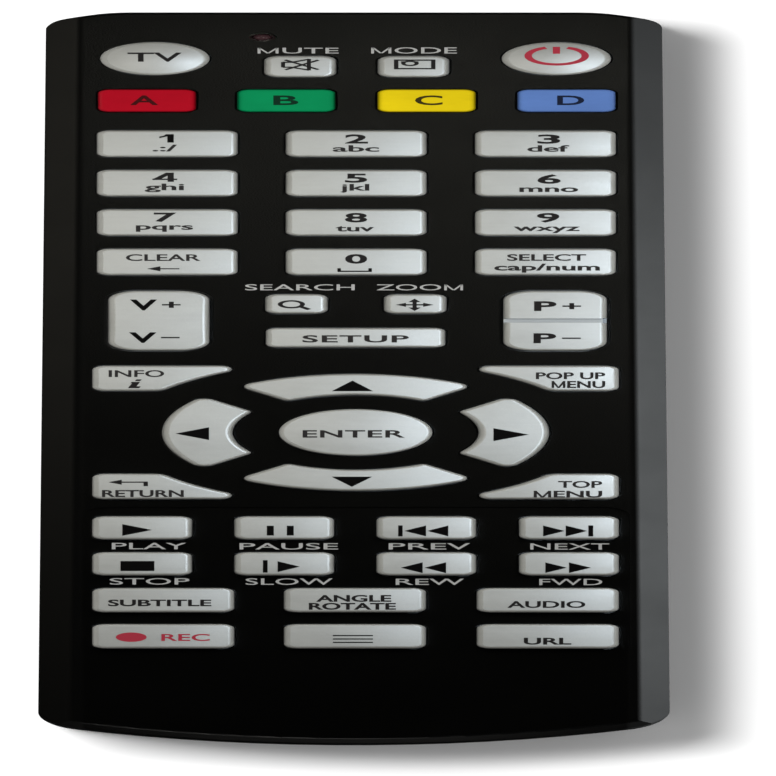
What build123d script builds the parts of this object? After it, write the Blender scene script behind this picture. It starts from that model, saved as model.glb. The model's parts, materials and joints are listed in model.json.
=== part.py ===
from build123d import *
import math
import os

# Hand-held infrared remote control for a media player.
# Frame: millimetres, +Z up through the keys, +Y towards the infrared window, +X to the right of
# someone holding it. Origin: middle of the flat underside, at the centre of the outer box.
# Two snap-together shells hold a printed board; a silicone mat lies on the board, and every key
# is a drafted rubber cap with a retaining foot that stands in its own opening of the face plate.

os.makedirs("parts", exist_ok=True)

# ---------------------------------------------------------------- driving dimensions (mm)
Y_TOP = 100.1            # flat end with the infrared window
Y_END = -100.1           # lowest point of the arched end
HALF_TOP = 25.5          # half width near the window end
HALF_END = 26.15         # half width near the arched end
R_END = 63.2             # arch of the lower end
R_END_CORNER = 5.0
SHOULDER_X = 20.4        # where the window end starts to slope down
SHOULDER_DEG = 25.0
R_SHOULDER = 8.0
R_TOP_CORNER = 2.8

Z_FACE = 20.0            # face plate
Z_SPLIT = 10.0           # parting line between the shells
SPLIT_GAP = 0.3
WALL = 1.8
PLATE = 1.8              # thickness of the face plate
BAND_W, BAND_H = 2.4, 4.2        # sloped band along both long sides of the face
RIM_W, RIM_H = 1.3, 2.4          # sloped rim along the arched end
BELLY_W, BELLY_H = 4.0, 6.0      # slope under the long sides
BELLY_END_W, BELLY_END_H = 2.2, 4.0

TRAY = (45.5, 40.6, 2.4, 0.4)    # recess round the transport keys: width, length, corner, depth
TRAY_Y = -55.75

BOARD_Z, BOARD_T, BOARD_HALF = 14.0, 1.2, 22.9
MAT_T = 1.2
BOARD_TOP = BOARD_Z + BOARD_T
MAT_TOP = BOARD_TOP + MAT_T
TRAVEL = 0.9             # key travel
FOOT_Z = BOARD_TOP + TRAVEL + 0.1
FOOT_TOP = 17.95
FOOT_OUT = 0.5           # retaining foot, outside the cap
HOLE_OUT = 0.2           # opening in the plate, outside the cap
MAT_OUT = 0.75           # opening in the mat, outside the cap
CAP_STRAIGHT = 20.35
CAP_TOP = 21.7
DRAFT = 9.0
EDGE = 0.5               # rounding between the top of a cap and its sides
CROWN = 8.0              # the top of a cap is part of a sphere: its radius is this many half diagonals

R_ROUND = 4.53           # the two round keys
PAD = (0.0, -15.0)       # centre of the navigation pad
R_ENTER, R_IN, R_OUT, R_CORNER_KEYS = 6.36, 10.2, 16.07, 19.6
ARROW_GAP = 2.0          # arrow keys stop this far from the diagonals

CELL_D, CELL_L, CELL_X, CELL_Z = 10.5, 44.5, 5.6, 7.4
BAY_HALF, BAY_Y0, BAY_Y1 = 11.3, -88.6, -37.4
DOOR_HALF, DOOR_Y1 = 17.0, -34.0
DOOR_Z0, DOOR_Z1 = 0.15, 1.75

LED_X, LED_Y, LED_HOLE = -7.7, 93.3, 1.18
IR_Z = 15.45


# ---------------------------------------------------------------- helpers
def block(x0, x1, y0, y1, z0, z1):
    return Pos((x0 + x1) / 2, (y0 + y1) / 2, (z0 + z1) / 2) * Box(x1 - x0, y1 - y0, z1 - z0)


def rod(r, x, y, z0, z1):
    return Pos(x, y, (z0 + z1) / 2) * Cylinder(r, z1 - z0)


def rod_y(r, x, z, y0, y1):
    return Pos(x, (y0 + y1) / 2, z) * Rot(90, 0, 0) * Cylinder(r, y1 - y0)


def up(sketch, z0, z1):
    return Pos(0, 0, z0) * extrude(sketch, amount=z1 - z0)


def rounded(w, h, r, x=0.0, y=0.0):
    return Pos(x, y) * RectangleRounded(w, h, r)


def meet(p, n, q, m):
    """Point on both lines: (point, normal) and (point, normal)."""
    det = n[0] * m[1] - n[1] * m[0]
    c, d = p[0] * n[0] + p[1] * n[1], q[0] * m[0] + q[1] * m[1]
    return ((c * m[1] - d * n[1]) / det, (n[0] * d - m[0] * c) / det)


SIDE = (HALF_END - HALF_TOP, -190.0)
SIDE_LEN = math.hypot(*SIDE)
SIDE_N = (SIDE[1] / SIDE_LEN, -SIDE[0] / SIDE_LEN)      # inward normal of the right side
LEAN = math.degrees(math.atan2(HALF_END - HALF_TOP, 190.0))


def plan(inset=0.0):
    """Outline of the case seen from above, moved inwards by inset."""
    a = math.radians(SHOULDER_DEG)
    top_p, top_n = (0.0, Y_TOP - inset), (0.0, -1.0)
    slope_n = (-math.sin(a), -math.cos(a))
    slope_p = (SHOULDER_X + slope_n[0] * inset, Y_TOP + slope_n[1] * inset)
    side_p = (HALF_TOP + SIDE_N[0] * inset, Y_TOP - 5.0 + SIDE_N[1] * inset)
    v1 = meet(top_p, top_n, slope_p, slope_n)
    v2 = meet(slope_p, slope_n, side_p, SIDE_N)
    # side line against the end arc
    cy, r = Y_END + R_END, R_END - inset
    d = (SIDE[0] / SIDE_LEN, SIDE[1] / SIDE_LEN)
    ox, oy = side_p[0], side_p[1] - cy
    b = ox * d[0] + oy * d[1]
    t = -b + math.sqrt(b * b - (ox * ox + oy * oy - r * r))
    v3 = (side_p[0] + d[0] * t, side_p[1] + d[1] * t)
    low = (0.0, Y_END + inset)
    edges = [
        Line((-v1[0], v1[1]), v1), Line(v1, v2), Line(v2, v3),
        ThreePointArc(v3, low, (-v3[0], v3[1])),
        Line((-v3[0], v3[1]), (-v2[0], v2[1])), Line((-v2[0], v2[1]), (-v1[0], v1[1])),
    ]
    face = make_face(Curve() + edges)

    def at(points, r):
        nonlocal face
        picked = [v for v in face.vertices()
                  if any(abs(abs(v.X) - p[0]) < 0.02 and abs(v.Y - p[1]) < 0.02 for p in points)]
        face = fillet(picked, r)

    at([v1], R_SHOULDER - min(inset, 3.0))
    at([v2], max(R_TOP_CORNER - inset, 0.6))
    at([v3], max(R_END_CORNER - inset, 0.8))
    return face


def side_wedge(sign, width, height, z_edge, z_wall, shift=0.0):
    """Long prism outside a plane that slopes from the side wall at z_wall to width inside it at z_edge,
    moved inwards by shift."""
    run, rise = width, z_edge - z_wall
    length = math.hypot(run, rise)
    up_dir = 1.0 if rise > 0 else -1.0
    # profile in (distance outside the side line, z)
    n = (abs(rise) / length, up_dir * run / length)
    p0 = (-n[0] * shift, z_wall - n[1] * shift)
    far = 12.0
    d = (-run / length, rise / length)
    a = (p0[0] - d[0] * far, p0[1] - d[1] * far)
    b = (p0[0] + d[0] * far, p0[1] + d[1] * far)
    c = (b[0] + n[0] * far * 2, b[1] + n[1] * far * 2)
    e = (a[0] + n[0] * far * 2, a[1] + n[1] * far * 2)
    prism = extrude(make_face(Polyline(a, b, c, e, close=True)), amount=230, both=True)
    # the profile's x is the outward direction and its y is up; the prism runs along the side
    prism = Rot(90, 0, 0) * prism
    prism = Rot(0, 0, LEAN) * prism
    prism = Pos(HALF_TOP, Y_TOP - 5.0, 0) * prism
    return prism if sign > 0 else mirror(prism, about=Plane.YZ)


def end_wedge(width, height, z_edge, z_wall, shift=0.0):
    """Ring outside a cone along the arched end."""
    rise = z_edge - z_wall
    length = math.hypot(width, rise)
    s = 1.0 if rise > 0 else -1.0
    n = (abs(rise) / length, s * width / length)
    d = (-width / length, rise / length)
    p0 = (R_END - n[0] * shift, z_wall - n[1] * shift)
    far = 9.0
    a = (p0[0] - d[0] * far, p0[1] - d[1] * far)
    b = (p0[0] + d[0] * far, p0[1] + d[1] * far)
    c = (b[0] + n[0] * 14, b[1] + n[1] * 14)
    e = (a[0] + n[0] * 14, a[1] + n[1] * 14)
    profile = Plane.XZ * make_face(Polyline(a, b, c, e, close=True))
    ring = revolve(profile, Axis.Z, 360)
    ring = Pos(0, Y_END + R_END, 0) * ring
    return ring & block(-40, 40, Y_END - 20, Y_END + 12, -10, 40)


def body(z0, z1, inset=0.0, top_shift=None, low_shift=None):
    """Block of the case's plan between two heights, with its slopes."""
    solid = up(plan(inset), z0, z1)
    if top_shift is not None:
        for s in (1, -1):
            solid -= side_wedge(s, BAND_W, BAND_H, Z_FACE, Z_FACE - BAND_H, top_shift)
        solid -= end_wedge(RIM_W, RIM_H, Z_FACE, Z_FACE - RIM_H, top_shift)
    if low_shift is not None:
        for s in (1, -1):
            solid -= side_wedge(s, BELLY_W, BELLY_H, 0.0, BELLY_H, low_shift)
        solid -= end_wedge(BELLY_END_W, BELLY_END_H, 0.0, BELLY_END_H, low_shift)
    return solid


# ---------------------------------------------------------------- key outlines
def arrow(turn):
    """Ring sector between two lines parallel to the diagonals, opening upwards, then turned."""
    ring = Circle(R_OUT) - Circle(R_IN)
    k = ARROW_GAP * math.sqrt(2.0)
    sector = make_face(Polyline((0, k), (30, 30 + k), (-30, 30 + k), close=True))
    s = ring & sector
    s = s.faces()[0] if isinstance(s, (ShapeList, Compound)) else s
    outer = [v for v in s.vertices() if math.hypot(v.X, v.Y) > 13]
    s = fillet(outer, 1.1)
    inner = [v for v in s.vertices() if math.hypot(v.X, v.Y) < R_IN + 0.3]
    s = fillet(inner, 0.7)
    return Pos(*PAD) * Rot(0, 0, turn) * s


def corner_key(sx, sy):
    """Corner key beside the pad: a rounded block whose inner side follows a circle round the pad."""
    x_out, y_in, y_out = 21.85, 11.3, 18.3
    s = make_face(Polyline((-x_out, y_in), (-4.0, y_in), (-4.0, y_out), (-x_out, y_out), close=True))
    s = s - Circle(R_CORNER_KEYS)
    s = s.faces().sort_by(Axis.X)[0]
    tip = [v for v in s.vertices() if abs(v.Y - y_out) < 0.01 and v.X > -12]
    s = fillet(tip, 1.03)
    heel = [v for v in s.vertices() if abs(v.Y - y_in) < 0.01 and v.X > -19]
    s = fillet(heel, 1.5)
    rest = [v for v in s.vertices() if abs(v.X + x_out) < 0.01]
    s = fillet(rest, 1.2)
    if sx > 0 and sy < 0:
        s = Rot(0, 0, 180) * s
    elif sx > 0:
        s = mirror(s, about=Plane.YZ)
    elif sy < 0:
        s = mirror(s, about=Plane.XZ)
    return Pos(*PAD) * s


# the key columns open out slightly towards the arched end, as the case does
COL3, COL4 = (-15.62, 0.05, 15.75), (-17.3, -5.75, 5.9, 17.5)
COL3_LOW, COL4_LOW = (-15.95, -0.05, 15.95), (-17.7, -5.92, 5.87, 17.7)
ROWS = (64.1, 53.3, 42.5, 31.7)
LOW = (-41.15, -51.0, -60.95, -70.85)

# name: (outline, pill x, pill y, kind)
KEYS = {}


def add(name, outline, x, y, kind="flat"):
    KEYS[name] = (outline, x, y, kind)


add("key_tv", Pos(-16.65, 87.4) * Circle(R_ROUND), -16.65, 87.4, "dome")
add("key_power", Pos(16.65, 87.4) * Circle(R_ROUND), 16.65, 87.4, "dome")
add("key_mute", rounded(6.0, 5.9, 1.35, -4.59, 85.25), -4.59, 85.25)
add("key_mode", rounded(5.95, 5.9, 1.35, 4.8, 85.25), 4.8, 85.25)
for n, x in zip(("a_red", "b_green", "c_yellow", "d_blue"), COL4):
    add("key_" + n, rounded(8.15, 6.2, 1.05, x, 75.88), x, 75.88)
names = (("1", "2", "3"), ("4", "5", "6"), ("7", "8", "9"), ("clear", "0", "select"))
for row, y in zip(names, ROWS):
    for n, x in zip(row, COL3):
        add("key_" + n, rounded(11.7, 7.35, 1.15, x, y), x, y)
add("rocker_volume", rounded(8.4, 16.4, 2.5, -16.32, 15.6), -16.32, 15.6, "rocker")
add("rocker_program", rounded(8.6, 16.4, 2.5, 16.55, 15.6), 16.55, 15.6, "rocker")
add("key_search", rounded(5.2, 5.4, 1.15, -4.9, 20.2), -4.9, 20.2)
add("key_zoom", rounded(5.2, 5.4, 1.15, 4.95, 20.2), 4.95, 20.2)
add("key_setup", rounded(14.9, 5.4, 1.0, 0.0, 10.95), 0.0, 10.95)
add("key_info", corner_key(-1, 1), -17.9, PAD[1] + 14.9)
add("key_popup_menu", corner_key(1, 1), 17.9, PAD[1] + 14.9)
add("key_return", corner_key(-1, -1), -17.9, PAD[1] - 14.9)
add("key_top_menu", corner_key(1, -1), 17.9, PAD[1] - 14.9)
R_MID = (R_IN + R_OUT) / 2
add("key_up", arrow(0), PAD[0], PAD[1] + R_MID)
add("key_left", arrow(90), PAD[0] - R_MID, PAD[1])
add("key_down", arrow(180), PAD[0], PAD[1] - R_MID)
add("key_right", arrow(-90), PAD[0] + R_MID, PAD[1])
add("key_enter", Pos(*PAD) * Circle(R_ENTER), PAD[0], PAD[1], "crown")
for row, y in ((("play", "pause", "prev", "next"), LOW[0]), (("stop", "slow", "rewind", "forward"), LOW[1])):
    for n, x in zip(row, COL4_LOW):
        add("key_" + n, rounded(8.3, 6.4, 1.2, x, y), x, y)
for row, y in ((("subtitle", "angle", "audio"), LOW[2]), (("record", "blank", "url"), LOW[3])):
    for n, x in zip(row, COL3_LOW):
        add("key_" + n, rounded(11.8, 6.7, 1.2, x, y), x, y)


def grown(outline, by):
    return offset(outline, amount=by, kind=Kind.ARC)


def make_key(outline, x, y, kind):
    foot_top = 17.45 if kind == "rocker" else FOOT_TOP
    foot = up(grown(outline, FOOT_OUT), FOOT_Z, foot_top)
    stem = up(outline, foot_top - 0.2, CAP_STRAIGHT)
    if kind in ("dome", "crown"):
        r = R_ENTER if kind == "crown" else R_ROUND
        rise, soft = (0.42, 0.5) if kind == "crown" else (0.72, 0.75)
        z_top = CAP_TOP + (0.1 if kind == "crown" else 0.4)
        ball = (r * r + rise * rise) / (2 * rise)
        half = math.asin(r / ball) / 2
        mid = (ball * math.sin(half), z_top - ball + ball * math.cos(half))
        profile = make_face(Curve() + [
            Line((0, foot_top - 0.2), (r, foot_top - 0.2)), Line((r, foot_top - 0.2), (r, z_top - rise)),
            ThreePointArc((r, z_top - rise), mid, (0, z_top)), Line((0, z_top), (0, foot_top - 0.2))])
        rim = [v for v in profile.vertices() if v.X > r - 0.01 and v.Y > z_top - rise - 0.01]
        profile = fillet(rim, soft)
        key = foot + Pos(x, y, 0) * revolve(Plane.XZ * profile, Axis.Z, 360)
    else:
        lean = (CAP_TOP - CAP_STRAIGHT) * math.tan(math.radians(DRAFT))
        cap = loft([Pos(0, 0, CAP_STRAIGHT) * outline, Pos(0, 0, CAP_TOP) * grown(outline, -lean)], ruled=True)
        bb = outline.bounding_box()
        ball = CROWN * math.hypot(bb.size.X, bb.size.Y) / 2
        cap &= Pos(bb.center().X, bb.center().Y, CAP_TOP - ball) * Rot(90, 0, 0) * Sphere(ball)
        key = foot + stem + cap
        top = key.faces().sort_by(Axis.Z)[-1]
        key = fillet(top.edges(), EDGE)
    if kind == "rocker":
        # two contact pills, one under each end
        for dy in (-5.2, 5.2):
            key -= rod(2.1, x, y + dy, FOOT_Z, FOOT_Z + 0.9)
            key += rod(1.25, x, y + dy, FOOT_Z, FOOT_Z + 1.0)
    else:
        key -= rod(2.1, x, y, FOOT_Z, FOOT_Z + 0.9)
        key += rod(1.25, x, y, FOOT_Z, FOOT_Z + 1.0)
    return key


SOLIDS = {}
for name, (outline, x, y, kind) in KEYS.items():
    SOLIDS[name] = make_key(outline, x, y, kind)

# the right-hand rocker is moulded in two halves with a waist between them
_, wx, wy, _ = KEYS["rocker_program"]
waist = block(wx - 5, wx + 5, wy - 0.58, wy + 0.58, CAP_TOP - 1.2, CAP_TOP + 1)
waist += block(wx + 3.95, wx + 5, wy - 0.72, wy + 0.72, Z_FACE - 0.6, CAP_TOP + 1)
SOLIDS["rocker_program"] -= waist

# ---------------------------------------------------------------- face shell
outer = body(Z_SPLIT + SPLIT_GAP / 2, Z_FACE, 0.0, top_shift=0.0)
lip_edges = [e for e in outer.edges()
             if e.center(CenterOf.BOUNDING_BOX).Z > Z_FACE - 0.01 or
             (e.center(CenterOf.BOUNDING_BOX).Z > Z_FACE - BAND_H - 0.01 and e.length > 100)]
outer = fillet(lip_edges, 0.6)
inner = body(Z_SPLIT - 1, Z_FACE - PLATE, WALL, top_shift=1.4)
top_case = outer - inner
# rebate for the lower shell's lip
top_case -= up(plan(0.85), Z_SPLIT - 1, Z_SPLIT + 1.9)
tw, tl, tr, td = TRAY
tray = up(rounded(tw, tl, tr, 0, TRAY_Y), Z_FACE - td, Z_FACE + 1)
top_case -= tray
holes = []
for name, (outline, x, y, kind) in KEYS.items():
    holes.append(up(grown(outline, HOLE_OUT + (0.12 if kind == "rocker" else 0.0)), Z_FACE - PLATE - 1, Z_FACE + 1))
top_case -= holes
top_case -= rod(LED_HOLE, LED_X, LED_Y, Z_FACE - PLATE - 1, Z_FACE + 1)
# seat of the infrared window in the end wall
WIN = (16.0, 6.0, 1.2)
win_sk = Plane.XZ * Pos(0, 14.4) * RectangleRounded(WIN[0], WIN[1], WIN[2])
win_cut = Pos(0, Y_TOP + 1, 0) * extrude(win_sk, amount=WALL + 2.2)
top_case -= win_cut
# pins that hold the mat down on the board, between the keys
PINS = [(0.0, 75.9), (0.0, 15.6)]
for sx in (-1, 1):
    PINS += [(sx * 11.2, 80.9), (sx * 9.0, 5.6), (sx * 9.0, -35.6), (sx * 11.73, -45.9)]
    PINS += [(sx * 7.9, y) for y in (58.7, 37.1, -65.7)]
PINS += [(x, -84.0) for x in (-15.0, 0.0, 15.0)]
for x, y in PINS:
    z0 = MAT_TOP if y > -78 else BOARD_TOP
    top_case += rod(0.8, x, y, z0, Z_FACE - PLATE + 0.3)
# recesses for the snap bumps
SNAP_Y = (72.0, 8.0, -56.0)


def half_at(y):
    return HALF_TOP + (HALF_END - HALF_TOP) * (Y_TOP - 5.0 - y) / 190.0


for y in SNAP_Y:
    for s in (-1, 1):
        x = s * (half_at(y) - 0.95)
        top_case -= block(min(x, x + s * 0.5), max(x, x + s * 0.5), y - 4.2, y + 4.2, Z_SPLIT + 0.85, Z_SPLIT + 1.65)
SOLIDS["top_case"] = top_case

# ---------------------------------------------------------------- back shell
back_top = Z_SPLIT - SPLIT_GAP / 2
outer = body(0.0, back_top, 0.0, low_shift=0.0)
low_edges = [e for e in outer.edges() if e.length > 20 and (
    e.center(CenterOf.BOUNDING_BOX).Z < 0.01
    or (e.length > 100 and e.center(CenterOf.BOUNDING_BOX).Z < BELLY_H + 0.01))]
outer = fillet(low_edges, 0.6)
inner = body(WALL, back_top + 1, WALL, low_shift=1.6)
shell = outer - inner
# tongue that stands inside the face shell
lip = up(plan(0.95), back_top - 1.2, Z_SPLIT + 1.75) - up(plan(WALL), back_top - 2, Z_SPLIT + 3)
lip -= block(-WIN[0] / 2 - 1.4, WIN[0] / 2 + 1.4, Y_TOP - 6, Y_TOP, Z_SPLIT + 0.4, Z_SPLIT + 4)
shell += lip
for y in SNAP_Y:
    for s in (-1, 1):
        x = s * (half_at(y) - 0.97)
        shell += block(min(x, x + s * 0.35), max(x, x + s * 0.35), y - 4.0, y + 4.0, Z_SPLIT + 0.95, Z_SPLIT + 1.55)
# platform that carries the door rails, kept inside the shell
platform = block(-19.8, 19.8, Y_END, -30.0, 0, 3.2) & body(0.0, back_top, 0.0, low_shift=0.0)
shell += platform
# battery bay
bay_out = block(-BAY_HALF - 1.2, BAY_HALF + 1.2, BAY_Y0 - 1.2, BAY_Y1 + 1.2, 1.0, 13.7)
shell += bay_out
shell -= block(-BAY_HALF, BAY_HALF, BAY_Y0, BAY_Y1, -1, 12.8)
# door recess, open through the arched end, with grooves on three sides
shell -= block(-DOOR_HALF - 0.2, DOOR_HALF + 0.2, Y_END - 5, DOOR_Y1 + 0.2, -1, 1.95)
shell -= block(-DOOR_HALF - 1.4, DOOR_HALF + 1.4, Y_END - 5, DOOR_Y1 - 1.0, 0.7, 1.65)
shell -= block(-6.3, 6.3, DOOR_Y1 - 2, DOOR_Y1 + 2.9, 0.7, 1.65)
# slots for the contacts in both end walls of the bay
for s, y0, y1 in ((1, BAY_Y1, BAY_Y1 + 0.6), (-1, BAY_Y0 - 0.6, BAY_Y0)):
    for x in (-CELL_X, CELL_X):
        shell -= block(x - 4.4, x + 4.4, y0, y1, 3.0, 12.0)
# posts under the board
for x, y in ((-20, 88), (20, 88), (-20, 40), (20, 40), (-20, -8), (20, -8)):
    shell += rod(1.7, x, y, 1.0, BOARD_Z)
for x, y in ((-8, -45), (8, -45), (-8, -72), (8, -72)):
    shell += rod(1.7, x, y, 13.2, BOARD_Z)
# stiffening ribs across the hollow front half
for y in (66.0, 16.0):
    shell += block(-21.5, 21.5, y - 0.6, y + 0.6, 1.2, 5.0) & body(0.0, back_top, 0.5, low_shift=0.5)
SOLIDS["back_case"] = shell

# ---------------------------------------------------------------- battery door
door = block(-DOOR_HALF, DOOR_HALF, Y_END - 1, DOOR_Y1, DOOR_Z0, DOOR_Z1) & body(0.0, back_top, 0.0, low_shift=0.0)
tongues = block(-DOOR_HALF - 1.2, DOOR_HALF + 1.2, Y_END, DOOR_Y1 - 1.4, 0.85, 1.5) & body(0.0, back_top, 0.9, low_shift=0.9)
door += tongues
door += block(-6.0, 6.0, DOOR_Y1 - 1, DOOR_Y1 + 2.5, 0.85, 1.5)
for i in range(7):
    y = -41.0 - 1.9 * i
    door -= block(-8.5 + 0.35 * i, 8.5 - 0.35 * i, y - 0.45, y + 0.45, DOOR_Z0 - 1, DOOR_Z0 + 0.35)
# inner ribs that steady the cells
for x in (-14.0, 14.0):
    door += block(x - 0.5, x + 0.5, -90.0, -37.0, DOOR_Z1 - 0.2, DOOR_Z1 + 0.1)
SOLIDS["battery_door"] = door

# ---------------------------------------------------------------- silicone mat
mat = up(plan(2.9), BOARD_TOP, MAT_TOP) & block(-BOARD_HALF, BOARD_HALF, -79.5, 97.5, BOARD_TOP, MAT_TOP)
mat -= [up(grown(o, MAT_OUT), BOARD_TOP - 1, MAT_TOP + 1) for o, _, _, _ in KEYS.values()]
mat -= block(-3.7, 3.7, 89.6, 101, BOARD_TOP - 1, MAT_TOP + 1)
mat -= block(-1.9, 1.9, 88.1, 90, BOARD_TOP - 1, MAT_TOP + 1)
mat -= rod(1.6, LED_X, LED_Y, BOARD_TOP - 1, MAT_TOP + 1)
SOLIDS["keypad_mat"] = mat

# ---------------------------------------------------------------- printed board with its small parts
board = up(plan(2.9), BOARD_Z, BOARD_TOP) & block(-BOARD_HALF, BOARD_HALF, -90.0, 97.5, BOARD_Z, BOARD_TOP)
board -= block(-3.4, 3.4, 89.2, 101, BOARD_Z - 1, BOARD_TOP + 1)
small = [
    block(-14.0, -11.5, 60, 61.25, BOARD_Z - 0.6, BOARD_Z),     # resistor
    block(-14.0, -11.5, 56, 57.25, BOARD_Z - 0.6, BOARD_Z),     # resistor
    block(-9.0, -7.0, 78, 79.25, BOARD_Z - 1.0, BOARD_Z),       # driver
    block(5.5, 12.9, 44.0, 47.0, BOARD_Z - 3.4, BOARD_Z),       # resonator
    rod(2.5, -8.0, 8.0, BOARD_Z - 7.2, BOARD_Z),                # electrolytic capacitor
]
SOLIDS["circuit_board"] = [board] + small

# ---------------------------------------------------------------- controller chip
CX, CY = 0.0, 30.0
chip = block(CX - 3.8, CX + 3.8, CY - 6.4, CY + 6.4, BOARD_Z - 2.35, BOARD_Z - 0.15)
chip -= rod(0.5, CX - 2.6, CY + 5.2, BOARD_Z - 3, BOARD_Z - 2.2)
for i in range(10):
    y = CY + (i - 4.5) * 1.27
    for s in (-1, 1):
        chip += block(min(CX + s * 3.6, CX + s * 4.3), max(CX + s * 3.6, CX + s * 4.3), y - 0.2, y + 0.2, BOARD_Z - 1.35, BOARD_Z - 1.1)
        chip += block(min(CX + s * 4.1, CX + s * 4.35), max(CX + s * 4.1, CX + s * 4.35), y - 0.2, y + 0.2, BOARD_Z - 1.35, BOARD_Z)
        chip += block(min(CX + s * 4.1, CX + s * 5.2), max(CX + s * 4.1, CX + s * 5.2), y - 0.2, y + 0.2, BOARD_Z - 0.25, BOARD_Z)
SOLIDS["controller_chip"] = chip

# ---------------------------------------------------------------- infrared window and emitters
win_in = Plane.XZ * Pos(0, 14.4) * RectangleRounded(WIN[0] - 0.1, WIN[1] - 0.1, WIN[2] - 0.05)
window = Pos(0, Y_TOP, 0) * extrude(win_in, amount=WALL + 0.1)
face = window.faces().sort_by(Axis.Y)[-1]
window = fillet(face.edges(), 0.3)
flange_sk = Plane.XZ * Pos(0, 14.4) * RectangleRounded(WIN[0] + 1.8, WIN[1] + 1.2, WIN[2] + 0.4)
window += Pos(0, Y_TOP - WALL - 0.02, 0) * extrude(flange_sk, amount=0.7)
SOLIDS["ir_window"] = window

emitter = rod_y(2.5, 0, IR_Z, 90.6, 94.7) + Pos(0, 94.7, IR_Z) * Sphere(2.5) + rod_y(2.9, 0, IR_Z, 89.7, 90.7)
emitter &= block(-3, 3, 80, 97.1, BOARD_TOP - 4, Z_FACE - PLATE - 0.1)
for s in (-1, 1):
    emitter += block(s * 1.27 - 0.25, s * 1.27 + 0.25, 88.3, 90.0, BOARD_TOP, BOARD_TOP + 0.5)
SOLIDS["ir_emitter"] = emitter

lamp = rod(0.85, LED_X, LED_Y, BOARD_TOP + 1.0, 18.9) + Pos(LED_X, LED_Y, 18.9) * Sphere(0.85) + rod(1.15, LED_X, LED_Y, BOARD_TOP, BOARD_TOP + 1.2)
SOLIDS["indicator_lamp"] = lamp

# ---------------------------------------------------------------- cells, springs and contact plates
def cell():
    """One cell lying along Y, its button end at +Y."""
    can = rod_y(CELL_D / 2, 0, 0, -CELL_L / 2 + 1.3, CELL_L / 2 - 0.8)
    rims = [e for e in can.edges() if e.geom_type == GeomType.CIRCLE]
    can = fillet(rims, 0.45)
    can += rod_y(1.9, 0, 0, CELL_L / 2 - 1.0, CELL_L / 2)
    can += rod_y(3.6, 0, 0, -CELL_L / 2 + 1.1, -CELL_L / 2 + 1.5)
    return can


def place(shape, x, button_up):
    # button end touches the plate; the other end meets the spring
    shift = (BAY_Y1 - 0.35 - CELL_L / 2) if button_up else (BAY_Y0 + 0.35 + CELL_L / 2)
    turned = shape if button_up else Rot(0, 0, 180) * shape
    return Pos(x, shift, CELL_Z) * turned


SOLIDS["aaa_cells"] = [place(cell(), -CELL_X, True), place(cell(), CELL_X, False)]

# contact plates: 0.35 mm sheet in the slots; each one also carries a spring's foot
plates = []
for x in (-CELL_X, CELL_X):
    plates.append(block(x - 4.2, x + 4.2, BAY_Y1 - 0.3, BAY_Y1 + 0.1, 3.2, 11.8))
    plates.append(block(x - 4.2, x + 4.2, BAY_Y0 - 0.1, BAY_Y0 + 0.3, 3.2, 11.8))
SOLIDS["contact_plates"] = plates


def spring(x, y_plate, direction, y_cell):
    """Conical spring from its plate to the flat end of a cell."""
    wire = 0.28
    length = abs(y_cell - y_plate) - 2 * wire - 0.06
    path = Helix(pitch=length / 3.0, height=length, radius=3.4, cone_angle=-14)
    profile = Plane(origin=path @ 0, z_dir=path % 0) * Circle(wire)
    coil = sweep(profile, path=path, is_frenet=True)
    coil = Rot(90 if direction < 0 else -90, 0, 0) * coil
    return Pos(x, y_plate + direction * (wire + 0.03), CELL_Z) * coil


flat_up = BAY_Y0 + 0.35 + CELL_L - 1.1          # flat end of the right cell
flat_dn = BAY_Y1 - 0.35 - CELL_L + 1.1          # flat end of the left cell
SOLIDS["battery_springs"] = [
    spring(-CELL_X, BAY_Y0 + 0.3, 1, flat_dn),
    spring(CELL_X, BAY_Y1 - 0.3, -1, flat_up),
]

# ---------------------------------------------------------------- export
for f in os.listdir("parts"):
    if f.endswith(".step") and f[:-5] not in SOLIDS:
        os.remove(os.path.join("parts", f))
for name, shape in SOLIDS.items():
    if isinstance(shape, list):
        pieces = [s for part in shape for s in part.solids()]
        shape = Compound(children=pieces)
    else:
        pieces = shape.solids()
        if len(pieces) == 1:
            shape = pieces[0]
        else:
            shape = Compound(children=list(pieces))
    export_step(shape, f"parts/{name}.step")
print(len(SOLIDS), "nodes")
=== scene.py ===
import math

import bmesh
import bpy
from mathutils import Matrix, Vector
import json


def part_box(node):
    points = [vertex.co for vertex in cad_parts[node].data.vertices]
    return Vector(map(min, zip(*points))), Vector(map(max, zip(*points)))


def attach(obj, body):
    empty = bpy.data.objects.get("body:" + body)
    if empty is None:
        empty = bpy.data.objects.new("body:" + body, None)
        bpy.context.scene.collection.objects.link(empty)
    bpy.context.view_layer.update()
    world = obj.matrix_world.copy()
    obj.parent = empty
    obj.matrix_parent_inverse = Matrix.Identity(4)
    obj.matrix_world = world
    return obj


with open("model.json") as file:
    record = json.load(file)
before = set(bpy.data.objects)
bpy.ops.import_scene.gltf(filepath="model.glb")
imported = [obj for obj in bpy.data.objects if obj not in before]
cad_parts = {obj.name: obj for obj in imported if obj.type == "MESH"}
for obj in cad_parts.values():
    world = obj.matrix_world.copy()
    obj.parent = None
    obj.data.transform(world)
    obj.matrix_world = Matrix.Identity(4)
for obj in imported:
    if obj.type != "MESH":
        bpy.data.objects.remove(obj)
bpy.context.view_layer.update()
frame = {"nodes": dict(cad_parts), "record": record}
NODES = frame["nodes"]

# ------------------------------------------------------------------ where things are
# The photograph is squeezed: 12.04 px per mm across, 3.65 px per mm along. Legends are placed by its pixels.
PX_X, PX_Y = 12.04, 3.65
MID_X, MID_Y = 355.8, 377.5
CAP_TOP = 0.0217
FACE = 0.0200
CROWN = 8.0              # radius of a cap's top, in half diagonals of the cap
FOOT_OUT = 0.0005


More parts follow.
